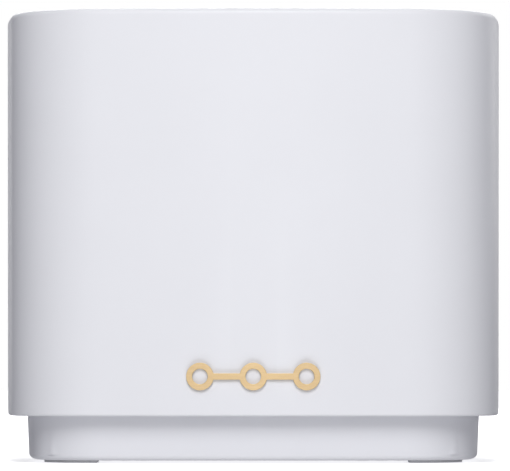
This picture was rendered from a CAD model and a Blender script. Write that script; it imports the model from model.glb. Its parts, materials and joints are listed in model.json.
"""Finished surfaces, materials, light and camera of a small square mesh wifi node."""

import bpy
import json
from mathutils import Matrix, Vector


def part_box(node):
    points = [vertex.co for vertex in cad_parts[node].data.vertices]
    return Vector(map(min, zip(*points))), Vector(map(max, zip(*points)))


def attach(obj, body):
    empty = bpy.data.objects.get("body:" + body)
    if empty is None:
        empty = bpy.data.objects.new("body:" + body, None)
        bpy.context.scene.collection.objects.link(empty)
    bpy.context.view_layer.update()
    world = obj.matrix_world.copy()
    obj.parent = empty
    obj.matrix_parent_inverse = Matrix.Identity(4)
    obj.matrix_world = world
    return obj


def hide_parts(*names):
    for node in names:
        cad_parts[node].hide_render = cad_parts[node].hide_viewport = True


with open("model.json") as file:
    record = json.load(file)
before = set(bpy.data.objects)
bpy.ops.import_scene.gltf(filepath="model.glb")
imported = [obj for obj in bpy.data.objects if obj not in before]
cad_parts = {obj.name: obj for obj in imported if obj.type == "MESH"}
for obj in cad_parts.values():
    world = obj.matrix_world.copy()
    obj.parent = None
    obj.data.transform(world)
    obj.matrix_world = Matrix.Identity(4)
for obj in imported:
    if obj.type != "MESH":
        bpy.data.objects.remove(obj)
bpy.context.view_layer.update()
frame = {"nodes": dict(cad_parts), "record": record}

import json
import math

import bmesh
import bpy
from bpy.props import FloatProperty, FloatVectorProperty, PointerProperty
from mathutils import Vector

bl_info = {
    "name": "Mesh wifi node",
    "version": (1, 0, 0),
    "blender": (4, 5, 0),
    "location": "View3D > Sidebar > Mesh node",
    "description": "Builds the finished pieces of a small square mesh wifi node around its frame",
    "category": "Object",
}

MM = 0.001

# Places and outer sizes, read from the frame.
SHELL_LOW, SHELL_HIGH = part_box("outer_shell")
TRAY_LOW, TRAY_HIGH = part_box("base_tray")
GRILLE_LOW, GRILLE_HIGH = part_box("top_grille")
PANEL_LOW, PANEL_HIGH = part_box("rear_port_panel")
BOARD_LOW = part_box("main_board")[0]
FOOT_LOW, FOOT_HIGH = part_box("foot_rear_right")
EMBLEM_LOW, EMBLEM_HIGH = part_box("front_emblem")
BUTTON_LOW, BUTTON_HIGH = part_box("pairing_button")
LABEL_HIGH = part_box("rating_label")[1]
HALF = SHELL_HIGH.x
HEIGHT = SHELL_HIGH.z
LIP = SHELL_LOW.z
PLINTH_INSET = HALF - PANEL_HIGH.y
FLANGE_INSET = HALF - TRAY_HIGH.x
CORNERS = ("front_left", "front_right", "rear_left", "rear_right")

# Sizes that more than one piece shares.
GAP = 0.3 * MM             # clearance between neighbouring pieces
PAST = 1.0 * MM            # how far a cutter runs past the face it opens
LEDGE = 2.2 * MM           # width of the shell's ledge under the grille
SKIRT = 3.0 * MM           # depth of the grille's skirt below its plate
POST_RADIUS = 3.2 * MM     # screw posts and the bosses under them
SCREW_BORE = 1.5 * MM      # radius of a base screw's hole
PANEL_WALL = 1.8 * MM      # thickness of the port panel
TRAY_WALL = 2.0 * MM       # wall, floor and flange of the plinth
BUTTON_CAP = 2.5 * MM      # radius of the pairing button's cap
ROUND = 48                 # facets of a turned piece


# ---- settings

class MESHNODE_PG_casing(bpy.types.PropertyGroup):
    """Shape of the moulded casing"""
    corner_radius: FloatProperty(
        name="Corner radius", description="Radius of the plan's four corners",
        default=17.5 * MM, unit="LENGTH")
    bow_radius: FloatProperty(
        name="Bow radius", description="Radius of the plan's four bowed sides",
        default=240.0 * MM, unit="LENGTH")
    wall: FloatProperty(
        name="Shell wall", description="Wall of the outer shell",
        default=2.2 * MM, unit="LENGTH")
    rim_round: FloatProperty(
        name="Rim rounding", description="Rounding along the outside of the top rim",
        default=1.0 * MM, unit="LENGTH")
    lip_round: FloatProperty(
        name="Lip rounding", description="Rounding along the outside of the shell's lower lip",
        default=0.5 * MM, unit="LENGTH")
    draft: FloatProperty(
        name="Draft", description="How much narrower the shell is at its lip, on each side",
        default=0.15 * MM, unit="LENGTH")
    slot_width: FloatProperty(
        name="Vent width", description="Width of the vents in the top plate and the floor",
        default=1.6 * MM, unit="LENGTH")
    slot_pitch: FloatProperty(
        name="Vent pitch", description="Distance between the top plate's vents",
        default=4.4 * MM, unit="LENGTH")


class MESHNODE_PG_colours(bpy.types.PropertyGroup):
    """Colours of the pieces that show"""
    shell: FloatVectorProperty(
        name="Shell", description="Colour of the outer shell",
        default=(0.80, 0.805, 0.835), size=3, min=0.0, max=1.0, subtype="COLOR")
    base: FloatVectorProperty(
        name="Base", description="Colour of the plinth, the port panel and the button",
        default=(0.76, 0.765, 0.80), size=3, min=0.0, max=1.0, subtype="COLOR")
    grille: FloatVectorProperty(
        name="Grille", description="Colour of the vented top plate",
        default=(0.78, 0.785, 0.815), size=3, min=0.0, max=1.0, subtype="COLOR")
    gold: FloatVectorProperty(
        name="Emblem", description="Colour of the front emblem",
        default=(0.70, 0.51, 0.27), size=3, min=0.0, max=1.0, subtype="COLOR")
    feet: FloatVectorProperty(
        name="Feet", description="Colour of the rubber feet",
        default=(0.52, 0.525, 0.55), size=3, min=0.0, max=1.0, subtype="COLOR")
    board: FloatVectorProperty(
        name="Board", description="Colour of the circuit board's solder mask",
        default=(0.015, 0.10, 0.05), size=3, min=0.0, max=1.0, subtype="COLOR")


class MESHNODE_PG_stage(bpy.types.PropertyGroup):
    """Camera and light"""
    camera_distance: FloatProperty(
        name="Camera distance", description="From the camera to the node's front face",
        default=0.90, unit="LENGTH")
    camera_height: FloatProperty(
        name="Camera height", description="Height of the camera above the floor",
        default=0.015, unit="LENGTH")
    front_light: FloatProperty(
        name="Front light", description="Power of the broad soft light in front",
        default=2.5, subtype="POWER")
    key_light: FloatProperty(
        name="Key light", description="Power of the tall narrow light in front",
        default=12.6, subtype="POWER")
    top_light: FloatProperty(
        name="Top light", description="Power of the soft light overhead",
        default=3.9, subtype="POWER")
    back_light: FloatProperty(
        name="Back light", description="Power of the soft light high behind",
        default=6.0, subtype="POWER")
    axis_light: FloatProperty(
        name="Axis light", description="Power of the small light close to the camera's line",
        default=3.6, subtype="POWER")
    under_light: FloatProperty(
        name="Under light", description="Power of the light that is the table's glow in front",
        default=11.0, subtype="POWER")
    side_glow: FloatProperty(
        name="Side glow", description="Power of each light that is the table's glow at a side",
        default=0.7, subtype="POWER")
    left_light: FloatProperty(
        name="Left rear light", description="Power of the rim light behind on the left",
        default=1.35, subtype="POWER")
    right_light: FloatProperty(
        name="Right rear light", description="Power of the rim light behind on the right",
        default=0.9, subtype="POWER")
    side_light: FloatProperty(
        name="Side light", description="Power of the wide light behind on the right",
        default=2.8, subtype="POWER")
    fill: FloatProperty(
        name="Fill", description="Strength of the even light from all round",
        default=0.238, min=0.0, subtype="FACTOR")


def casing():
    return bpy.context.scene.mesh_node_casing


def colours():
    return bpy.context.scene.mesh_node_colours


def stage():
    return bpy.context.scene.mesh_node_stage


# ---- plan of the body

def plan_facts():
    """Bow offset, corner centre and tangent angle of the plan's arcs."""
    bow_offset = casing().bow_radius - HALF
    reach = casing().bow_radius - casing().corner_radius
    corner = (math.sqrt(2 * reach ** 2 - bow_offset ** 2) - bow_offset) / 2
    return bow_offset, corner, math.atan2(corner, corner + bow_offset)


def side_edge(offset, inset):
    """Distance from the centre to a side, at a sideways offset, for a plan moved inwards."""
    bow_offset, corner, tangent = plan_facts()
    radius = casing().bow_radius - inset
    if abs(offset) <= radius * math.sin(tangent):
        return math.sqrt(radius ** 2 - offset ** 2) - bow_offset
    past = abs(offset) - corner
    return corner + math.sqrt(max((casing().corner_radius - inset) ** 2 - past ** 2, 0.0))


def plan_ring(inset, height, side_steps=14, corner_steps=22):
    """The plan moved inwards by an inset, as a ring of points at one height."""
    bow_offset, corner, tangent = plan_facts()
    quarter = []
    for step in range(side_steps):
        angle = tangent * (2 * step / side_steps - 1)
        radius = casing().bow_radius - inset
        quarter.append((radius * math.cos(angle) - bow_offset, radius * math.sin(angle)))
    for step in range(corner_steps):
        angle = tangent + (math.pi / 2 - 2 * tangent) * step / corner_steps
        radius = casing().corner_radius - inset
        quarter.append((corner + radius * math.cos(angle), corner + radius * math.sin(angle)))
    ring = []
    for cos, sin in ((1, 0), (0, 1), (-1, 0), (0, -1)):
        ring += [Vector((x * cos - y * sin, x * sin + y * cos, height)) for x, y in quarter]
    return ring


def arc(centre, radius, start, end, steps):
    """Points along an arc, with its angles in degrees."""
    turns = [math.radians(start + (end - start) * step / steps) for step in range(steps + 1)]
    return [(centre[0] + radius * math.cos(t), centre[1] + radius * math.sin(t)) for t in turns]


# ---- mesh work

def solid(bm):
    """Turn a bmesh into an object with its faces pointing outwards."""
    bmesh.ops.recalc_face_normals(bm, faces=bm.faces)
    mesh = bpy.data.meshes.new("work")
    bm.to_mesh(mesh)
    bm.free()
    obj = bpy.data.objects.new("work", mesh)
    bpy.context.collection.objects.link(obj)
    return obj


def loft(rings, closed=False):
    """Skin a list of equal rings; the ends are capped, or joined when closed."""
    bm = bmesh.new()
    loops = [[bm.verts.new(point) for point in ring] for ring in rings]
    pairs = list(zip(loops, loops[1:]))
    if closed:
        pairs.append((loops[-1], loops[0]))
    for low, high in pairs:
        for index in range(len(low)):
            after = (index + 1) % len(low)
            bm.faces.new((low[index], low[after], high[after], high[index]))
    if not closed:
        bm.faces.new(loops[0])
        bm.faces.new(loops[-1])
    return solid(bm)


def placed(axis, u, v, w):
    """A point whose height w runs along an axis and whose outline (u, v) lies across it."""
    return Vector({"Z": (u, v, w), "Y": (u, w, v), "X": (w, u, v)}[axis])


def prism(outline, low, high, axis="Z"):
    """Extrude an outline (u, v) from low to high along an axis."""
    return loft([[placed(axis, u, v, level) for u, v in outline] for level in (low, high)])


def turned(centre, profile, axis="Z", facets=ROUND):
    """Turn a profile of (radius, level) points about an axis through a centre."""
    rings = []
    for radius, level in profile:
        outline = arc(centre, radius, 0, 360 * (facets - 1) / facets, facets - 1)
        rings.append([placed(axis, u, v, level) for u, v in outline])
    return loft(rings)


def rod(centre, radius, low, high, axis="Z", facets=ROUND):
    """A straight round bar, or the cutter of a straight round hole."""
    return turned(centre, [(radius, low), (radius, high)], axis, facets)


def block(low, high):
    """A plain box between two corners."""
    outline = [(low[0], low[1]), (high[0], low[1]), (high[0], high[1]), (low[0], high[1])]
    return prism(outline, low[2], high[2])


def rounded_rectangle(half_u, half_v, radius, centre=(0.0, 0.0), steps=8):
    """Outline of a rectangle with four round corners."""
    outline = []
    for sign_u, sign_v, start in ((1, 1, 0), (-1, 1, 90), (-1, -1, 180), (1, -1, 270)):
        middle = (centre[0] + sign_u * (half_u - radius), centre[1] + sign_v * (half_v - radius))
        outline += arc(middle, radius, start, start + 90, steps)
    return outline


def slot_outline(start, end, width, steps=8):
    """Outline of a straight slot with round ends, between two centre points."""
    heading = math.degrees(math.atan2(end.y - start.y, end.x - start.x))
    outline = arc(end, width / 2, heading - 90, heading + 90, steps)
    return outline + arc(start, width / 2, heading + 90, heading + 270, steps)


def flared(outline_at, levels):
    """A cutter whose outline changes with its level: outline_at(growth) at each (growth, z)."""
    return loft([[Vector((x, y, z)) for x, y in outline_at(growth)] for growth, z in levels])


def rear_band(half, outer, inner, low, high, steps=40):
    """A curved wall that follows the plan's rear side, between two insets."""
    places = [half * (2 * step / steps - 1) for step in range(steps + 1)]
    outline = [(x, side_edge(x, outer)) for x in places]
    outline += [(x, side_edge(x, inner)) for x in reversed(places)]
    return prism(outline, low, high)


def combine(target, operation, tools):
    """Join tools to the target, or cut them out of it, and remove them."""
    for tool in tools:
        step = target.modifiers.new("step", "BOOLEAN")
        step.operation = operation
        step.solver = "EXACT"
        step.object = tool
        graph = bpy.context.evaluated_depsgraph_get()
        mesh = bpy.data.meshes.new_from_object(target.evaluated_get(graph))
        target.modifiers.remove(step)
        target.data = mesh
        bpy.data.objects.remove(tool)
    return target


def join(target, *tools):
    return combine(target, "UNION", tools)


def cut(target, *tools):
    return combine(target, "DIFFERENCE", tools)


def break_edges(obj, width, segments=2, angle=40.0):
    """Round the piece's sharp edges by a small width."""
    bevel = obj.modifiers.new("edges", "BEVEL")
    bevel.width = width
    bevel.segments = segments
    bevel.limit_method = "ANGLE"
    bevel.angle_limit = math.radians(angle)
    bevel.harden_normals = True
    return obj


def show(obj, node, paint=None, body="housing"):
    """Let a finished piece stand for its node: name, finish, body and slot."""
    sharp_angle = 30.0
    obj.name = node + "_finished"
    obj.data.name = obj.name
    obj.data.materials.clear()
    obj.data.materials.append(paint or paint_for(slot_of(node)))
    obj.data.shade_smooth()
    obj.data.set_sharp_from_angle(angle=math.radians(sharp_angle))
    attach(obj, body)
    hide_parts(node)


def slot_of(node):
    """The record's material slot of a node."""
    for entry in frame["record"]["subparts"]:
        if entry["node"] == node:
            return entry["material_slot"]
    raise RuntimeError("no slot is recorded for " + node)


def refined(node, width):
    """A copy of a node's own solid with its flat faces made whole and its edges broken."""
    weld, flat = 0.002 * MM, math.radians(0.5)
    bm = bmesh.new()
    bm.from_mesh(frame["nodes"][node].data)
    bmesh.ops.remove_doubles(bm, verts=bm.verts, dist=weld)
    bmesh.ops.dissolve_limit(bm, angle_limit=flat, verts=bm.verts, edges=bm.edges)
    return break_edges(solid(bm), width)


def middle_of(node):
    """The middle of a node's box."""
    low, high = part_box(node)
    return (low + high) / 2


# ---- shader expressions

def overload(operation, reflected=False):
    """An operator that adds one Math node, its operands swapped when reflected."""
    def method(self, other=0.0):
        first, second = (other, self) if reflected else (self, other)
        return self.nodes.node("ShaderNodeMath", {"operation": operation}, {0: first, 1: second})
    return method


class Socket:
    """A shader output that takes part in Python expressions on values."""

    def __init__(self, nodes, output):
        self.nodes = nodes
        self.output = output

    __add__, __radd__ = overload("ADD"), overload("ADD", reflected=True)
    __sub__, __rsub__ = overload("SUBTRACT"), overload("SUBTRACT", reflected=True)
    __mul__, __rmul__ = overload("MULTIPLY"), overload("MULTIPLY", reflected=True)
    __lt__, __gt__ = overload("LESS_THAN"), overload("GREATER_THAN")
    __pow__, __rpow__ = overload("POWER"), overload("POWER", reflected=True)
    __abs__ = overload("ABSOLUTE")


class Nodes:
    """A node tree whose nodes are all added by one method."""

    def __init__(self, tree):
        self.tree = tree

    def node(self, kind, settings=None, inputs=None, output=0):
        """Add a node: its settings first, then the values or links of its sockets."""
        made = self.tree.nodes.new(kind)
        for key, value in (settings or {}).items():
            if key == "stops":
                self.set_stops(made.color_ramp, value)
            else:
                setattr(made, key, value)
        for key, value in (inputs or {}).items():
            self.feed(made.inputs[key], value)
        return Socket(self, made.outputs[output])

    def set_stops(self, ramp, stops):
        """Give a colour ramp its stops, as (position, grey level)."""
        for index, (position, level) in enumerate(stops):
            stop = ramp.elements[index] if index < 2 else ramp.elements.new(position)
            stop.position = position
            stop.color = (level, level, level, 1.0)

    def feed(self, socket, value):
        """Link a socket, or set its value; a colour may be given without its alpha."""
        if isinstance(value, Socket):
            self.tree.links.new(value.output, socket)
        elif socket.type == "RGBA" and len(value) == 3:
            socket.default_value = (*value, 1.0)
        else:
            socket.default_value = value


class Paint(Nodes):
    """One material's node tree, with the patterns that the finishes share."""

    def __init__(self, name):
        self.material = bpy.data.materials.new(name)
        self.material.use_nodes = True
        super().__init__(self.material.node_tree)

    def place(self):
        """Position on the piece, in metres."""
        return self.node("ShaderNodeTexCoord", output="Object")

    def axes(self):
        """The three coordinates of the position, as values."""
        split = self.node("ShaderNodeSeparateXYZ", inputs={0: self.place()})
        outputs = split.output.node.outputs
        return [Socket(self, outputs[index]) for index in range(3)]

    def noise(self, scale, detail=3.0, roughness=0.5, stretch=None):
        """Fractal noise between 0 and 1, its features one over the scale in size."""
        place = self.place()
        if stretch:
            place = self.node("ShaderNodeMapping", inputs={"Vector": place, "Scale": stretch})
        return self.node("ShaderNodeTexNoise", inputs={
            "Vector": place, "Scale": scale, "Detail": detail, "Roughness": roughness})

    def cells(self, scale):
        """Distance to the nearest cell centre of a Voronoi pattern."""
        return self.node("ShaderNodeTexVoronoi", inputs={"Vector": self.place(), "Scale": scale})

    def edge(self):
        """How far the surface stands out as an edge, about 0.5 on a flat face."""
        return self.node("ShaderNodeNewGeometry", output="Pointiness")

    def ramp(self, value, *stops):
        """A value between 0 and 1 read through stops of (position, level)."""
        return self.node("ShaderNodeValToRGB", {"stops": stops}, {"Fac": value})

    def blend(self, share, first, second):
        """Mix two colours by a share between 0 and 1."""
        colour_a, colour_b, colour_out = 6, 7, 2
        return self.node("ShaderNodeMix", {"data_type": "RGBA"},
                         {"Factor": share, colour_a: first, colour_b: second}, colour_out)

    def bump(self, height, depth, strength=1.0, under=None):
        """A normal from a height between 0 and 1 that stands for a depth in metres."""
        inputs = {"Height": height, "Distance": depth, "Strength": strength}
        if under:
            inputs["Normal"] = under
        return self.node("ShaderNodeBump", inputs=inputs)

    def surface(self, **values):
        """Set the shader's sockets by name and hand back the material."""
        shader = self.tree.nodes["Principled BSDF"]
        for name, value in values.items():
            self.feed(shader.inputs[name.replace("_", " ").title().replace("Ior", "IOR")], value)
        return self.material


def shade(colour, factor):
    """A colour made lighter or darker."""
    return tuple(min(channel * factor, 1.0) for channel in colour)


def finish_once(maker):
    """Keep one material for each finish and set of values."""
    kept = {}

    def made(*values):
        if values not in kept:
            kept[values] = maker(*values)
        return kept[values]
    return made


# ---- finishes

@finish_once
def moulded_plastic(name, colour, roughness, grain_depth):
    """Satin injection-moulded plastic: spark-eroded grain, faint flow mottling, rubbed edges."""
    paint = Paint(name)
    mottle = paint.noise(70.0, detail=4.0)
    flow = paint.noise(40.0, detail=5.0, roughness=0.6, stretch=(1.0, 1.0, 0.18))
    tone = paint.ramp(mottle * 0.6 + flow * 0.4, (0.25, 0.0), (0.75, 1.0))
    body = paint.blend(tone, shade(colour, 0.985), shade(colour, 1.012))
    speck = paint.ramp(paint.cells(900.0), (0.0, 1.0), (0.045, 0.0))
    grain = paint.noise(5200.0, detail=2.0, roughness=0.6)
    peel = paint.noise(620.0, detail=2.0)
    rubbed = paint.ramp(paint.edge(), (0.52, 0.0), (0.60, 1.0))
    return paint.surface(
        base_color=paint.blend(speck * 0.10, body, shade(colour, 0.80)),
        roughness=roughness + (peel - 0.5) * 0.10 - rubbed * 0.08,
        specular_ior_level=0.42,
        normal=paint.bump(grain, grain_depth, 0.6, paint.bump(peel, 0.004 * MM, strength=0.5)))


@finish_once
def pale_gold(name, colour):
    """Satin gold plate: fine horizontal brushing, a warmer tone in the hollows."""
    paint = Paint(name)
    brushed = paint.noise(260.0, detail=5.0, roughness=0.65, stretch=(0.5, 4.0, 14.0))
    cloud = paint.noise(450.0)
    tone = paint.ramp(brushed * 0.7 + cloud * 0.3, (0.3, 0.0), (0.7, 1.0))
    return paint.surface(
        base_color=paint.blend(tone, shade(colour, 0.90), shade(colour, 1.08)),
        roughness=0.40 + (cloud - 0.5) * 0.14,
        metallic=0.40,
        normal=paint.bump(brushed, 0.006 * MM, strength=0.5))


@finish_once
def foot_rubber(name, colour):
    """Soft matte rubber with a stippled skin and a little pale dust."""
    paint = Paint(name)
    stipple = paint.cells(2400.0)
    dust = paint.ramp(paint.noise(380.0, detail=6.0, roughness=0.7), (0.48, 0.0), (0.72, 1.0))
    return paint.surface(
        base_color=paint.blend(dust * 0.35, colour, (0.52, 0.52, 0.52)),
        roughness=0.80 + dust * 0.12,
        specular_ior_level=0.3,
        normal=paint.bump(stipple, 0.02 * MM, strength=0.7))


@finish_once
def label_film(name, half_width, half_depth):
    """Blank satin film with a thin printed border, sunk under the floor."""
    paint = Paint(name)
    x, y, _ = paint.axes()
    inset, line = 1.4 * MM, 0.25 * MM
    outer = (abs(x) < half_width - inset) * (abs(y) < half_depth - inset)
    inner = (abs(x) < half_width - inset - line) * (abs(y) < half_depth - inset - line)
    fibre = paint.noise(1500.0)
    base = paint.blend(fibre, (0.80, 0.80, 0.81), (0.85, 0.85, 0.86))
    return paint.surface(
        base_color=paint.blend(outer - inner, base, (0.35, 0.36, 0.38)),
        roughness=0.38 + fibre * 0.12,
        normal=paint.bump(fibre, 0.003 * MM, strength=0.5))


@finish_once
def dark_plastic(name, colour, roughness):
    """Glass-filled black connector plastic, with short pale fibres in its skin."""
    paint = Paint(name)
    fibres = paint.ramp(paint.noise(1400.0, stretch=(1.0, 0.2, 1.0)), (0.58, 0.0), (0.75, 1.0))
    grain = paint.noise(3800.0, detail=2.0)
    return paint.surface(
        base_color=paint.blend(fibres * 0.25, colour, shade(colour, 3.0)),
        roughness=roughness + (grain - 0.5) * 0.15,
        normal=paint.bump(grain, 0.006 * MM, strength=0.6))


@finish_once
def nickel_sheet(name):
    """Stamped nickel-plated sheet: rolling lines, clouded plating, light scratches."""
    paint = Paint(name)
    rolled = paint.noise(500.0, detail=5.0, roughness=0.7, stretch=(9.0, 0.7, 9.0))
    cloud = paint.noise(160.0, detail=4.0)
    lines = paint.noise(120.0, detail=2.0, stretch=(0.5, 16.0, 16.0))
    scratch = paint.ramp(lines, (0.66, 0.0), (0.70, 1.0))
    return paint.surface(
        base_color=paint.blend(cloud, (0.52, 0.51, 0.48), (0.72, 0.71, 0.68)),
        roughness=0.24 + cloud * 0.14 + scratch * 0.15,
        metallic=1.0,
        normal=paint.bump(rolled + scratch * 0.5, 0.004 * MM, strength=0.5))


@finish_once
def contact_gold(name):
    """Bright gold plate on spring wire, dulled in patches."""
    paint = Paint(name)
    patch = paint.noise(900.0)
    return paint.surface(
        base_color=paint.blend(patch, (0.80, 0.55, 0.22), (0.95, 0.72, 0.36)),
        roughness=0.18 + patch * 0.16,
        metallic=1.0,
        normal=paint.bump(patch, 0.003 * MM, strength=0.4))


@finish_once
def extruded_aluminium(name):
    """Extruded aluminium with drawing lines along the fins and a dull skin."""
    paint = Paint(name)
    drawn = paint.noise(900.0, detail=4.0, roughness=0.7, stretch=(1.0, 0.03, 1.0))
    skin = paint.noise(220.0, detail=4.0)
    return paint.surface(
        base_color=paint.blend(skin, (0.50, 0.51, 0.53), (0.66, 0.67, 0.69)),
        roughness=0.34 + skin * 0.16,
        metallic=1.0,
        normal=paint.bump(drawn, 0.01 * MM, strength=0.7))


@finish_once
def zinc_steel(name):
    """Zinc-plated screw steel, clouded, with worn driver faces."""
    paint = Paint(name)
    cloud = paint.noise(1300.0, detail=4.0)
    worn = paint.ramp(paint.edge(), (0.52, 0.0), (0.62, 1.0))
    return paint.surface(
        base_color=paint.blend(cloud, (0.40, 0.41, 0.43), (0.60, 0.61, 0.63)),
        roughness=0.26 + cloud * 0.2 + worn * 0.1,
        metallic=1.0,
        normal=paint.bump(cloud, 0.005 * MM, strength=0.5))


@finish_once
def circuit_board(name, colour):
    """Green solder mask over routed tracks, tinned pads and the weave of the laminate."""
    paint = Paint(name)
    tracks = paint.node("ShaderNodeTexBrick", output="Fac", inputs={
        "Vector": paint.place(), "Scale": 260.0, "Mortar Size": 0.035, "Brick Width": 0.9,
        "Row Height": 0.35})
    area = paint.ramp(paint.noise(70.0, detail=2.0), (0.45, 0.0), (0.50, 1.0))
    routed = tracks * area
    pads = paint.ramp(paint.cells(520.0), (0.05, 1.0), (0.09, 0.0))
    weave = paint.noise(2200.0, detail=2.0)
    green = paint.blend(routed, colour, shade(colour, 2.4))
    return paint.surface(
        base_color=paint.blend(pads, green, (0.62, 0.60, 0.55)),
        roughness=0.34 - pads * 0.10 + weave * 0.08,
        metallic=pads,
        normal=paint.bump(routed + pads + weave * 0.2, 0.02 * MM, strength=0.6))


@finish_once
def antenna_board(name, colour, low_z, high_z):
    """Thin laminate with a printed inverted-F copper shape under its mask."""
    paint = Paint(name)
    _, y, z = paint.axes()
    middle = (low_z + high_z) / 2
    arm_place, arm_width, arm_reach = middle + 4.2 * MM, 1.3 * MM, 13.5 * MM
    stub_place, stub_width, stub_reach = 6.0 * MM, 1.0 * MM, 5.0 * MM
    ground_top, ground_reach = middle - 4.0 * MM, 15.5 * MM
    arm = (abs(z - arm_place) < arm_width) * (abs(y) < arm_reach)
    stub = (abs(y + stub_place) < stub_width) * (abs(z - middle) < stub_reach)
    ground = (z < ground_top) * (abs(y) < ground_reach)
    copper = paint.node("ShaderNodeClamp", inputs={"Value": arm + stub + ground})
    weave = paint.noise(2000.0, detail=2.0)
    return paint.surface(
        base_color=paint.blend(copper, colour, (0.10, 0.22, 0.07)),
        roughness=0.36 + weave * 0.1,
        normal=paint.bump(copper + weave * 0.2, 0.03 * MM, strength=0.6))


@finish_once
def thermal_pad(name):
    """Soft filled silicone with a speckled surface."""
    paint = Paint(name)
    speck = paint.cells(1500.0)
    return paint.surface(
        base_color=paint.blend(speck, (0.24, 0.34, 0.52), (0.38, 0.48, 0.64)),
        roughness=0.7 + speck * 0.2,
        normal=paint.bump(speck, 0.03 * MM, strength=0.6))


@finish_once
def clear_pipe(name):
    """Clear acrylic with faint haze on its skin."""
    paint = Paint(name)
    haze = paint.noise(700.0)
    return paint.surface(
        base_color=(0.90, 0.93, 0.95),
        roughness=0.06 + haze * 0.12,
        transmission_weight=0.9,
        ior=1.49)


@finish_once
def lamp_phosphor(name):
    """The yellow phosphor face of a small diode in its white body."""
    paint = Paint(name)
    x, _, _ = paint.axes()
    half_lamp = 1.0 * MM
    lamp = abs(x) < half_lamp
    speck = paint.noise(4000.0, detail=2.0)
    return paint.surface(
        base_color=paint.blend(lamp, (0.82, 0.82, 0.80), (0.80, 0.66, 0.20)),
        roughness=0.4 + speck * 0.1,
        normal=paint.bump(speck, 0.005 * MM, strength=0.5))


@finish_once
def pale_floor(name):
    """Plain pale floor that glows, and fully so at a distance, where it meets the background."""
    paint = Paint(name)
    x, y, _ = paint.axes()
    distance = (x * x + y * y) ** 0.5
    far = paint.ramp(distance, (0.0, 0.50), (0.9, 1.0))
    fibre = paint.noise(90.0, detail=4.0)
    return paint.surface(
        base_color=paint.blend(fibre, (0.90, 0.90, 0.90), (0.93, 0.93, 0.93)),
        roughness=0.9,
        specular_ior_level=0.1,
        emission_color=paint.blend(far, (0.0, 0.0, 0.0), (1.0, 1.0, 1.0)),
        emission_strength=1.0)


def paint_for(slot):
    """The finish of one of the record's slots."""
    tint = colours()
    finishes = {
        "shell_plastic": (moulded_plastic, "shell_satin", tuple(tint.shell), 0.40, 0.010 * MM),
        "base_plastic": (moulded_plastic, "base_satin", tuple(tint.base), 0.50, 0.012 * MM),
        "grille_plastic": (moulded_plastic, "grille_satin", tuple(tint.grille), 0.50, 0.012 * MM),
        "gold_trim": (pale_gold, "emblem_gold", tuple(tint.gold)),
        "rubber": (foot_rubber, "foot_rubber", tuple(tint.feet)),
        "label_film": (label_film, "label_film", LABEL_HIGH.x, LABEL_HIGH.y),
        "clear_plastic": (clear_pipe, "light_pipe_acrylic"),
        "black_plastic": (dark_plastic, "connector_black", (0.022, 0.022, 0.024), 0.42),
        "frame_plastic": (dark_plastic, "frame_grey", (0.075, 0.075, 0.08), 0.55),
        "lead_jacket": (dark_plastic, "lead_black", (0.03, 0.03, 0.034), 0.36),
        "board_laminate": (circuit_board, "board_green", tuple(tint.board)),
        "nickel_sheet": (nickel_sheet, "nickel_sheet"),
        "gold_contact": (contact_gold, "contact_gold"),
        "aluminium": (extruded_aluminium, "sink_aluminium"),
        "thermal_pad": (thermal_pad, "pad_silicone"),
        "steel": (zinc_steel, "screw_steel"),
    }
    maker, *values = finishes[slot]
    return maker(*values)


# ---- casing pieces

def window_sizes():
    """Half width, top and corner rounding of the window in the shell's rear."""
    overlap, rounding = 1.9 * MM, 3.0 * MM
    return PANEL_HIGH.x - overlap, PANEL_HIGH.z - overlap, rounding


def shell_profile():
    """The shell wall's section, as (inset, height) points in order round the wall."""
    size = casing()
    wall, rim, lip = size.wall, size.rim_round, size.lip_round
    inner_rim, inner_lip = 0.5 * MM, 0.3 * MM
    ledge_top = GRILLE_LOW.z + SKIRT - GAP
    ledge_bottom = ledge_top - 1.6 * MM
    profile = arc((size.draft + lip, LIP + lip), lip, 270, 180, 6)
    profile += arc((rim, HEIGHT - rim), rim, 180, 90, 8)
    profile += arc((wall - inner_rim, HEIGHT - inner_rim), inner_rim, 90, 0, 5)
    profile += [
        (wall, ledge_top),
        (wall + LEDGE, ledge_top),
        (wall + LEDGE, ledge_bottom),
        (wall, ledge_bottom - LEDGE),
    ]
    profile += arc((wall - inner_lip, LIP + inner_lip), inner_lip, 0, -90, 3)
    return profile


def add_posts(shell):
    """Four screw posts inside the shell, each tied to its corner by a rib."""
    length, bore_depth = 29.0 * MM, 16.0 * MM
    half_rib, edge = 0.8 * MM, 0.4 * MM
    low = TRAY_HIGH.z + GAP
    high = low + length
    _, corner, _ = plan_facts()
    for name in CORNERS:
        centre = middle_of("base_screw_" + name).xy
        out = centre.normalized()
        side = Vector((-out.y, out.x)) * half_rib
        far = out * (corner * math.sqrt(2) + casing().corner_radius - casing().wall / 2)
        rib = [tuple(point) for point in (centre + side, centre - side, far - side, far + side)]
        post = [(POST_RADIUS, low), (POST_RADIUS, high - edge), (POST_RADIUS - edge, high)]
        join(shell, prism(rib, low, high - PAST), turned(centre, post, facets=32))
        cut(shell, rod(centre, SCREW_BORE, low - PAST, low + bore_depth, facets=24))


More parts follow.
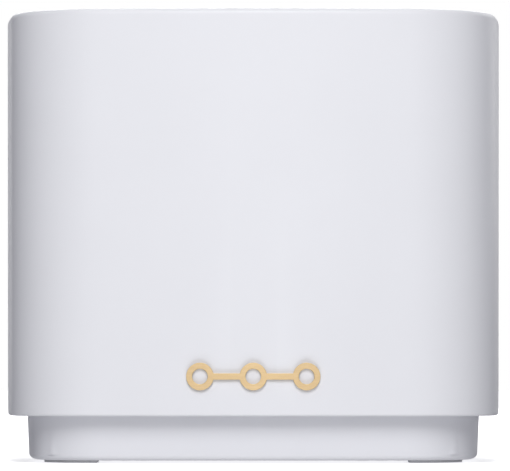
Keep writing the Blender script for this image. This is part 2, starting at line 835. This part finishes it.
def make_shell():
    """The off-white sleeve: rounded rim, grille ledge, screw posts and the port window."""
    shell = loft([plan_ring(inset, height) for inset, height in shell_profile()], closed=True)
    half, top, radius = window_sizes()
    frame_wall, frame_root = 1.6 * MM, casing().wall * 0.6
    join(shell, rear_band(half + frame_wall, frame_root, PLINTH_INSET - GAP,
                          LIP + casing().lip_round / 2, top + frame_wall))
    middle = (0.0, (top + LIP) / 2 - radius)
    window = rounded_rectangle(half, (top - LIP) / 2 + radius, radius, middle)
    cut(shell, prism(window, HALF / 2, HALF + PAST, "Y"))
    add_posts(shell)
    pin_hole, hole_depth = 0.5 * MM, 1.75 * MM
    height, pitch, _ = emblem_sizes()
    for x in (-pitch / 2, pitch / 2):
        face = -side_edge(x, 0.0)
        cut(shell, rod((x, height), pin_hole, face - PAST, face + hole_depth, "Y", 24))
    break_edges(shell, 0.25 * MM, angle=55.0)
    show(shell, "outer_shell")


def vent_half_length(middle, along, margin):
    """How far a vent's centre line runs before the plate's plain margin, found by halving."""
    _, corner, _ = plan_facts()
    low, high, halvings = 0.0, 2 * HALF, 30
    for _ in range(halvings):
        trial = (low + high) / 2
        point = middle + along * trial
        x, y = sorted((abs(point.x), abs(point.y)))
        within = x - corner < casing().corner_radius - margin and y < side_edge(x, margin)
        low, high = (trial, high) if within and y < side_edge(0.0, margin) else (low, trial)
    return low - casing().slot_width / 2


def make_grille():
    """The sunk top plate: soft-edged diagonal vents and a locating skirt."""
    size = casing()
    edge, skirt_wall, margin, lead_in = 0.4 * MM, 1.2 * MM, 8.0 * MM, 0.35 * MM
    lead_in_turns = (0.6, 1.1, 1.5)
    outer = HALF - GRILLE_HIGH.x
    skirt = outer + LEDGE
    top, foot = GRILLE_HIGH.z, GRILLE_LOW.z
    plate_low = foot + SKIRT
    profile = arc((outer + edge, top - edge), edge, 90, 180, 4)
    profile += [
        (outer, plate_low),
        (skirt, plate_low),
        (skirt, foot),
        (skirt + skirt_wall, foot),
        (skirt + skirt_wall, plate_low),
    ]
    grille = loft([plan_ring(inset, height) for inset, height in profile])
    levels = [(0.0, plate_low - PAST), (0.0, top - lead_in)]
    levels += [(lead_in * (1 - math.cos(turn)), top - lead_in + lead_in * math.sin(turn))
               for turn in lead_in_turns]
    levels.append((lead_in, top + PAST))
    _, corner, _ = plan_facts()
    along = Vector((1.0, 1.0)).normalized()
    across = Vector((-along.y, along.x))
    reach = corner * math.sqrt(2) + size.corner_radius - margin - size.slot_width
    count = int(reach / size.slot_pitch)
    for number in range(-count, count + 1):
        middle = across * number * size.slot_pitch
        half = vent_half_length(middle, along, margin)
        if half < size.slot_width:
            continue
        start, end = middle - along * half, middle + along * half
        cut(grille, flared(
            lambda growth: slot_outline(start, end, size.slot_width + 2 * growth), levels))
    show(grille, "top_grille")


def foot_outline(signs, grow):
    """Corner pad: an arc that follows the plinth and two straight inner edges."""
    _, corner, _ = plan_facts()
    near = FOOT_LOW.x - grow
    inner = near - corner
    radius = math.hypot(FOOT_HIGH.x - corner, inner + grow) + grow
    start = math.degrees(math.asin(inner / radius))
    outline = [(near, near)]
    outline += arc((corner, corner), radius, start, 90 - start, 24)
    return [(signs[0] * x, signs[1] * y) for x, y in outline]


def corner_signs(name):
    """On which side of the centre a named corner lies, along x and y."""
    return (1 if "right" in name else -1, 1 if "rear" in name else -1)


def make_tray():
    """The plinth: tapered wall, flange, floor with vents, foot pockets, bosses and standoffs."""
    bottom, top = TRAY_LOW.z, TRAY_HIGH.z
    floor, flange_low = bottom + TRAY_WALL, top - TRAY_WALL
    taper, flare, foot_round, label_round = 0.2 * MM, 0.14 * MM, 1.0 * MM, 1.0 * MM
    inner = PLINTH_INSET + TRAY_WALL
    middle = PLINTH_INSET + taper + foot_round
    profile = arc((middle, bottom + foot_round), foot_round, 270, 180, 8)
    profile += [
        (PLINTH_INSET - flare, flange_low),
        (FLANGE_INSET, flange_low),
        (FLANGE_INSET, top),
        (inner, top),
        (inner, floor),
    ]
    tray = loft([plan_ring(inset, height) for inset, height in profile])
    add_bosses(tray, floor)
    add_cradle(tray, floor)
    cut_foot_pockets(tray, bottom)
    sill_inset = PLINTH_INSET + PANEL_WALL + 2 * GAP
    cut(tray, rear_band(PANEL_HIGH.x + GAP, casing().wall / 2, sill_inset,
                        PANEL_LOW.z - GAP, top + PAST))
    label = rounded_rectangle(LABEL_HIGH.x + GAP, LABEL_HIGH.y + GAP, label_round)
    cut(tray, prism(label, bottom - PAST, LABEL_HIGH.z + GAP / 2))
    add_floor_openings(tray, bottom, floor)
    show(tray, "base_tray")


def screw_seat():
    """Height of the face under a base screw's head."""
    head = 2.0 * MM
    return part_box("base_screw_front_left")[0].z + head


def add_bosses(tray, floor):
    """A boss for each base screw and a bored standoff for each board screw."""
    cup, cup_wall, standoff, board_bore = 4.4 * MM, 1.7 * MM, 2.6 * MM, 1.3 * MM
    clear = BOARD_LOW.z - GAP
    for name in CORNERS:
        centre = middle_of("base_screw_" + name).xy
        place = middle_of("board_screw_" + name).xy
        join(tray, rod(centre, cup, floor - PAST, screw_seat() + cup_wall, facets=32),
             rod(centre, POST_RADIUS, floor - PAST, TRAY_HIGH.z, facets=32),
             rod(place, standoff, floor - PAST, clear, facets=28))
        cut(tray, rod(place, board_bore, floor, clear + PAST, facets=20))


def cut_foot_pockets(tray, bottom):
    """The pockets of the feet, and in each the way of its base screw."""
    head_bore = 2.7 * MM
    for name in CORNERS:
        centre = middle_of("base_screw_" + name).xy
        pocket = foot_outline(corner_signs(name), GAP)
        cut(tray, prism(pocket, bottom - PAST, FOOT_HIGH.z + GAP),
            rod(centre, head_bore, bottom, screw_seat(), facets=32),
            rod(centre, SCREW_BORE, screw_seat() - PAST, TRAY_HIGH.z + PAST, facets=24))


def add_cradle(tray, floor):
    """The forked rib that holds the light pipe, and the thinned spot of wall in front of it."""
    reach, wall = 2.6 * MM, 1.6 * MM
    low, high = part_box("status_light_pipe")
    fin = high.x - reach
    half = reach + GAP
    middle = (low.y + high.y) / 2
    rib = half + fin + wall
    wall_inner = -(HALF - PLINTH_INSET - TRAY_WALL)
    join(tray, block((-rib, wall_inner - PAST, floor - PAST), (rib, middle + wall, high.z - GAP)))
    cut(tray, block((-half, low.y - GAP, low.z - GAP), (half, high.y + PAST, high.z + PAST)),
        block((-half - fin, middle - fin / 2 - GAP, low.z - GAP),
              (half + fin, middle + fin / 2 + GAP, high.z + PAST)))


def add_floor_openings(tray, bottom, floor):
    """Three vents on each side of the label, and the reset hole with its lead-in."""
    pitch, half_vent = 3.4 * MM, 9.0 * MM
    vents, first = 3, 0.9      # on each side; the first one's distance in pitches
    for sign in (-1, 1):
        for number in range(vents):
            x = sign * (LABEL_HIGH.x + (number + first) * pitch)
            start, end = Vector((x, -half_vent)), Vector((x, half_vent))
            vent = slot_outline(start, end, casing().slot_width)
            cut(tray, prism(vent, 0.0, floor + PAST))
    mouth, bore, lead_in = 1.2 * MM, 0.9 * MM, 0.3 * MM
    hole = [(mouth, 0.0), (mouth, bottom), (bore, bottom + lead_in), (bore, floor + PAST)]
    cut(tray, turned(middle_of("reset_switch_plunger").xy, hole, facets=24))


def make_feet():
    """Four thin rubber pads with softened edges."""
    edge, top = 0.08 * MM, FOOT_HIGH.z
    levels = [(-edge, 0.0), (0.0, edge), (0.0, top - edge), (-edge, top)]
    for name in CORNERS:
        signs = corner_signs(name)
        show(flared(lambda grow: foot_outline(signs, grow), levels), "foot_" + name)


def emblem_sizes():
    """Height of the emblem's middle, distance between its rings, and their radius."""
    radius = (EMBLEM_HIGH.z - EMBLEM_LOW.z) / 2
    return (EMBLEM_LOW.z + EMBLEM_HIGH.z) / 2, EMBLEM_HIGH.x - radius, radius


def make_emblem():
    """Three linked rings in pale gold, with softened edges, bent to the bowed front."""
    thick, hole, bar = 0.45 * MM, 1.35 * MM, 1.1 * MM
    pin, pin_length, overlap, steps = 0.4 * MM, 1.3 * MM, 0.75, 6
    height, pitch, radius = emblem_sizes()
    places = (-pitch, 0.0, pitch)
    emblem, *others = [rod((x, height), radius, 0.0, thick, "Y") for x in places]
    join(emblem, *others)
    for sign in (-1, 1):
        start, length = overlap * radius, pitch - 2 * overlap * radius
        line = [sign * (start + length * step / steps) for step in range(steps + 1)]
        outline = [(x, height - bar / 2) for x in line]
        outline += [(x, height + bar / 2) for x in reversed(line)]
        join(emblem, prism(outline, 0.0, thick, "Y"))
    cut(emblem, *[rod((x, height), hole, -PAST, PAST, "Y") for x in places])
    join(emblem, *[rod((x, height), pin, thick / 2, thick + pin_length, "Y", 20)
                   for x in (-pitch / 2, pitch / 2)])
    front = EMBLEM_LOW.y + side_edge(0.0, 0.0)
    for vertex in emblem.data.vertices:
        vertex.co.y += front - side_edge(vertex.co.x, 0.0)
    break_edges(emblem, 0.16 * MM, 3)
    show(emblem, "front_emblem")


def make_panel():
    """The bowed port panel in the window, cut for the inlet, the jacks and the button."""
    opening_round = 0.35 * MM
    panel = rear_band(PANEL_HIGH.x, PLINTH_INSET, PLINTH_INSET + PANEL_WALL,
                      PANEL_LOW.z, PANEL_HIGH.z)
    for node in ("dc_jack_housing", "wan_jack_shield", "lan_jack_shield"):
        low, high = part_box(node)
        middle = ((low.x + high.x) / 2, (low.z + high.z) / 2)
        half_u, half_v = (high.x - low.x) / 2 + GAP, (high.z - low.z) / 2 + GAP
        opening = rounded_rectangle(half_u, half_v, opening_round, middle, steps=3)
        cut(panel, prism(opening, HALF / 2, HALF, "Y"))
    cut(panel, rod(button_middle(), BUTTON_CAP + GAP, HALF / 2, HALF, "Y"))
    break_edges(panel, 0.18 * MM)
    show(panel, "rear_port_panel")


# ---- rear ports

def button_middle():
    """Middle of the pairing button, as (x, z)."""
    return (BUTTON_LOW.x + BUTTON_HIGH.x) / 2, (BUTTON_LOW.z + BUTTON_HIGH.z) / 2


def make_button():
    """The pairing button: a dished cap with a soft edge, a collar and its stem."""
    stem, stem_length, collar, collar_wall = 1.1 * MM, 1.7 * MM, 3.2 * MM, 0.9 * MM
    edge, dish = 0.35 * MM, 0.22 * MM
    edge_turns, dish_shares = (0.0, 0.4, 0.8, 1.2, math.pi / 2), (0.85, 0.65, 0.45, 0.25, 0.08)
    face, end = BUTTON_HIGH.y, BUTTON_LOW.y
    back = end + stem_length
    crown = BUTTON_CAP - edge
    profile = [(stem, end), (stem, back), (collar, back), (collar, back + collar_wall),
               (BUTTON_CAP, back + collar_wall)]
    profile += [(crown + edge * math.cos(turn), face - edge + edge * math.sin(turn))
                for turn in edge_turns]
    profile += [(crown * share, face - dish * (1 - share ** 2))
                for share in dish_shares]
    show(turned(button_middle(), profile, "Y"), "pairing_button", body="pairing_key")


def make_jacks():
    """The two network jacks' shields and inserts, with broken edges."""
    for port in ("wan", "lan"):
        for part in ("_jack_shield", "_jack_insert"):
            show(refined(port + part, 0.12 * MM), port + part)


def make_inlet():
    """The power inlet's housing with a smooth bore, and its centre pin."""
    bore, depth, lead_in = 3.15 * MM, 9.6 * MM, 0.4 * MM
    back, back_bore, pin_bore, spring_way = 1.4 * MM, 2.3 * MM, 1.3 * MM, 2.1 * MM
    low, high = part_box("dc_jack_housing")
    pin_low, pin_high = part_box("dc_jack_pin")
    spring_low, spring_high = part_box("dc_jack_spring")
    centre = ((low.x + high.x) / 2, (pin_low.z + pin_high.z) / 2)
    mouth, end = high.y, high.y - depth
    housing = block(low, high)
    front = [(bore, end), (bore, mouth - lead_in), (bore + lead_in, mouth),
             (bore + lead_in, mouth + PAST)]
    rear = [(back_bore, low.y - PAST), (back_bore, low.y + back), (pin_bore, low.y + back),
            (pin_bore, end + PAST)]
    spring = block((spring_low.x - GAP, spring_low.y - GAP, spring_low.z - GAP),
                   (spring_high.x + GAP, spring_high.y + GAP, centre[1] - spring_way))
    cut(housing, turned(centre, front, "Y"), turned(centre, rear, "Y", 32), spring)
    break_edges(housing, 0.2 * MM, angle=50.0)
    show(housing, "dc_jack_housing")
    radius, flange, shoulder, nose, tip = 1.0 * MM, 1.1 * MM, 0.5 * MM, 0.15 * MM, pin_high.y
    pin = [(2 * radius, pin_low.y), (2 * radius, pin_low.y + flange),
           (radius, pin_low.y + flange), (radius, tip - shoulder),
           (radius * 0.85, tip - nose), (radius * 0.5, tip)]
    show(turned(centre, pin, "Y", 32), "dc_jack_pin")


# ---- inside pieces

def make_board_pieces():
    """Chips, cans and power parts with broken edges, and the waisted capacitor can."""
    for node in ("soc_chip", "memory_chip", "radio_shield_left", "radio_shield_right",
                 "power_inductor", "heat_sink_pad", "pairing_switch_body", "reset_switch_body"):
        show(refined(node, 0.15 * MM), node)
    show(refined("heat_sink", 0.2 * MM), "heat_sink")
    low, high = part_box("bulk_capacitor")
    radius, waist, edge = (high.x - low.x) / 2, low.z + 1.3 * MM, 0.4 * MM
    narrow, foot_edge, dished, dish = 0.9, 0.3 * MM, 0.7, 0.15 * MM
    profile = [(radius * narrow, low.z), (radius, low.z + foot_edge), (radius, waist - edge),
               (radius * narrow, waist), (radius, waist + edge), (radius, high.z - edge),
               (radius - edge, high.z), (radius * dished, high.z - dish)]
    show(turned(((low + high) / 2).xy, profile, facets=36), "bulk_capacitor")


def make_antenna_pieces():
    """The antenna frame and the two printed antennas."""
    show(refined("antenna_frame", 0.3 * MM), "antenna_frame")
    for node in ("antenna_left", "antenna_right"):
        low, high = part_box(node)
        paint = antenna_board("antenna_print", tuple(colours().board), low.z, high.z)
        show(refined(node, 0.1 * MM), node, paint)


def paint_kept_nodes():
    """Give every node that keeps its own solid its procedural finish."""
    special = {"status_led": lamp_phosphor("lamp_phosphor")}
    for node, obj in frame["nodes"].items():
        if not obj.hide_render:
            obj.data.materials.clear()
            obj.data.materials.append(special.get(node) or paint_for(slot_of(node)))


# ---- stage

def aim(obj, target):
    """Turn a light or camera to look at a point."""
    direction = Vector(target) - obj.location
    obj.rotation_euler = direction.to_track_quat("-Z", "Y").to_euler()


def add_soft_light(name, place, extent, power):
    """A rectangular soft light that looks at the node's middle."""
    light = bpy.data.lights.new(name, "AREA")
    light.shape = "RECTANGLE"
    light.size, light.size_y = extent
    light.energy = power
    obj = bpy.data.objects.new(name, light)
    obj.location = place
    bpy.context.collection.objects.link(obj)
    aim(obj, (0.0, 0.0, HEIGHT / 2))


def make_camera():
    """Just above the floor, straight in front, as far away as a long lens asks."""
    size = stage()
    width_shown, sensor = 89.42 * MM, 36.0
    aside, above = 0.3 * MM, 24.98 * MM
    camera = bpy.data.cameras.new("camera")
    camera.sensor_width = sensor
    camera.lens = sensor * size.camera_distance / width_shown
    obj = bpy.data.objects.new("camera", camera)
    obj.location = (0.0, -HALF - size.camera_distance, size.camera_height)
    bpy.context.collection.objects.link(obj)
    aim(obj, (aside, -HALF, size.camera_height + above))
    bpy.context.scene.camera = obj


def make_world():
    """White behind the node, and a dimmer even light from all round."""
    world = bpy.data.worlds.new("studio")
    world.use_nodes = True
    bpy.context.scene.world = world
    nodes = Nodes(world.node_tree)
    fill = nodes.node("ShaderNodeBackground",
                      inputs={"Color": (0.90, 0.90, 1.0), "Strength": stage().fill})
    white = nodes.node("ShaderNodeBackground", inputs={"Color": (1.0, 1.0, 1.0)})
    seen = nodes.node("ShaderNodeLightPath", output="Is Camera Ray")
    both = nodes.node("ShaderNodeMixShader", inputs={"Fac": seen, 1: fill, 2: white})
    world.node_tree.nodes.remove(world.node_tree.nodes["Background"])
    nodes.feed(world.node_tree.nodes["World Output"].inputs["Surface"], both)


def make_floor():
    """A wide pale floor that lights, shades and mirrors nothing."""
    radius, low, top = 5.0, -10.0 * MM, -0.1 * MM
    floor = rod((0.0, 0.0), radius, low, top, facets=128)
    floor.name = "floor"
    floor.data.materials.append(pale_floor("floor_paper"))
    floor.visible_diffuse = False
    floor.visible_glossy = False
    floor.visible_shadow = False


def make_stage():
    """Pale floor, soft studio lights, camera."""
    size = stage()
    make_floor()
    for name, place, extent, power in (
            ("front_light", (0.0, -1.5, 0.8), (1.6, 1.2), size.front_light),
            ("key_light", (0.0, -1.2, 1.0), (0.12, 0.8), size.key_light),
            ("top_light", (0.0, 0.1, 1.5), (1.0, 1.0), size.top_light),
            ("back_light", (0.0, 1.4, 0.7), (0.5, 0.7), size.back_light),
            ("axis_light", (0.0, -2.2, 0.1), (0.2, 0.2), size.axis_light),
            ("under_light", (0.0, -0.9, -1.3), (1.2, 0.9), size.under_light),
            ("left_glow", (-1.2, 0.3, -0.9), (0.6, 0.6), size.side_glow),
            ("right_glow", (1.2, 0.3, -0.9), (0.6, 0.6), size.side_glow),
            ("left_light", (-0.45, 1.5, 0.4), (0.3, 0.9), size.left_light),
            ("right_light", (0.45, 1.5, 0.4), (0.3, 0.9), size.right_light),
            ("side_light", (0.9, 1.3, 0.5), (0.6, 0.9), size.side_light)):
        add_soft_light(name, place, extent, power)
    make_world()
    make_camera()
    bpy.context.scene.view_settings.view_transform = "Standard"


# ---- operators and panel

class MESHNODE_OT_shell(bpy.types.Operator):
    """Build the outer shell with its rim, posts and port window"""
    bl_idname = "mesh_node.shell"
    bl_label = "Outer shell"

    def execute(self, context):
        make_shell()
        return {"FINISHED"}


class MESHNODE_OT_grille(bpy.types.Operator):
    """Build the sunk top plate with its vents"""
    bl_idname = "mesh_node.grille"
    bl_label = "Top grille"

    def execute(self, context):
        make_grille()
        return {"FINISHED"}


class MESHNODE_OT_base(bpy.types.Operator):
    """Build the plinth and its four feet"""
    bl_idname = "mesh_node.base"
    bl_label = "Base tray and feet"

    def execute(self, context):
        make_tray()
        make_feet()
        return {"FINISHED"}


class MESHNODE_OT_emblem(bpy.types.Operator):
    """Build the plain chain of rings on the front"""
    bl_idname = "mesh_node.emblem"
    bl_label = "Front emblem"

    def execute(self, context):
        make_emblem()
        return {"FINISHED"}


class MESHNODE_OT_ports(bpy.types.Operator):
    """Build the rear panel with its power inlet, network jacks and pairing button"""
    bl_idname = "mesh_node.ports"
    bl_label = "Rear ports"

    def execute(self, context):
        make_panel()
        make_jacks()
        make_inlet()
        make_button()
        return {"FINISHED"}


class MESHNODE_OT_inside(bpy.types.Operator):
    """Build the board's chips, cans and heat sink, and the antenna frame"""
    bl_idname = "mesh_node.inside"
    bl_label = "Inside pieces"

    def execute(self, context):
        make_board_pieces()
        make_antenna_pieces()
        return {"FINISHED"}


class MESHNODE_OT_kept(bpy.types.Operator):
    """Give the pieces that keep their own solid their finishes"""
    bl_idname = "mesh_node.kept"
    bl_label = "Finishes of the other pieces"

    def execute(self, context):
        paint_kept_nodes()
        return {"FINISHED"}


class MESHNODE_OT_stage(bpy.types.Operator):
    """Set up the floor, the lights and the camera"""
    bl_idname = "mesh_node.stage"
    bl_label = "Stage"

    def execute(self, context):
        make_stage()
        return {"FINISHED"}


class MESHNODE_PT_panel(bpy.types.Panel):
    """Sizes, colours and one button for each piece"""
    bl_idname = "MESHNODE_PT_panel"
    bl_label = "Mesh node"
    bl_space_type = "VIEW_3D"
    bl_region_type = "UI"
    bl_category = "Mesh node"

    def draw(self, context):
        for group in (casing(), colours(), stage()):
            column = self.layout.column(align=True)
            for name in group.__annotations__:
                column.prop(group, name)
        for kind in OPERATORS:
            self.layout.operator(kind.bl_idname)


GROUPS = (
    ("mesh_node_casing", MESHNODE_PG_casing),
    ("mesh_node_colours", MESHNODE_PG_colours),
    ("mesh_node_stage", MESHNODE_PG_stage),
)
OPERATORS = (
    MESHNODE_OT_shell,
    MESHNODE_OT_grille,
    MESHNODE_OT_base,
    MESHNODE_OT_emblem,
    MESHNODE_OT_ports,
    MESHNODE_OT_inside,
    MESHNODE_OT_kept,
    MESHNODE_OT_stage,
)


def register():
    for name, kind in GROUPS:
        bpy.utils.register_class(kind)
        setattr(bpy.types.Scene, name, PointerProperty(type=kind))
    for kind in (*OPERATORS, MESHNODE_PT_panel):
        bpy.utils.register_class(kind)


def unregister():
    for kind in reversed((*OPERATORS, MESHNODE_PT_panel)):
        bpy.utils.unregister_class(kind)
    for name, kind in reversed(GROUPS):
        delattr(bpy.types.Scene, name)
        bpy.utils.unregister_class(kind)


def main():
    """Build every piece and the stage."""
    register()
    bpy.ops.mesh_node.shell()
    bpy.ops.mesh_node.grille()
    bpy.ops.mesh_node.base()
    bpy.ops.mesh_node.emblem()
    bpy.ops.mesh_node.ports()
    bpy.ops.mesh_node.inside()
    bpy.ops.mesh_node.kept()
    bpy.ops.mesh_node.stage()


if __name__ == "__main__":
    main()
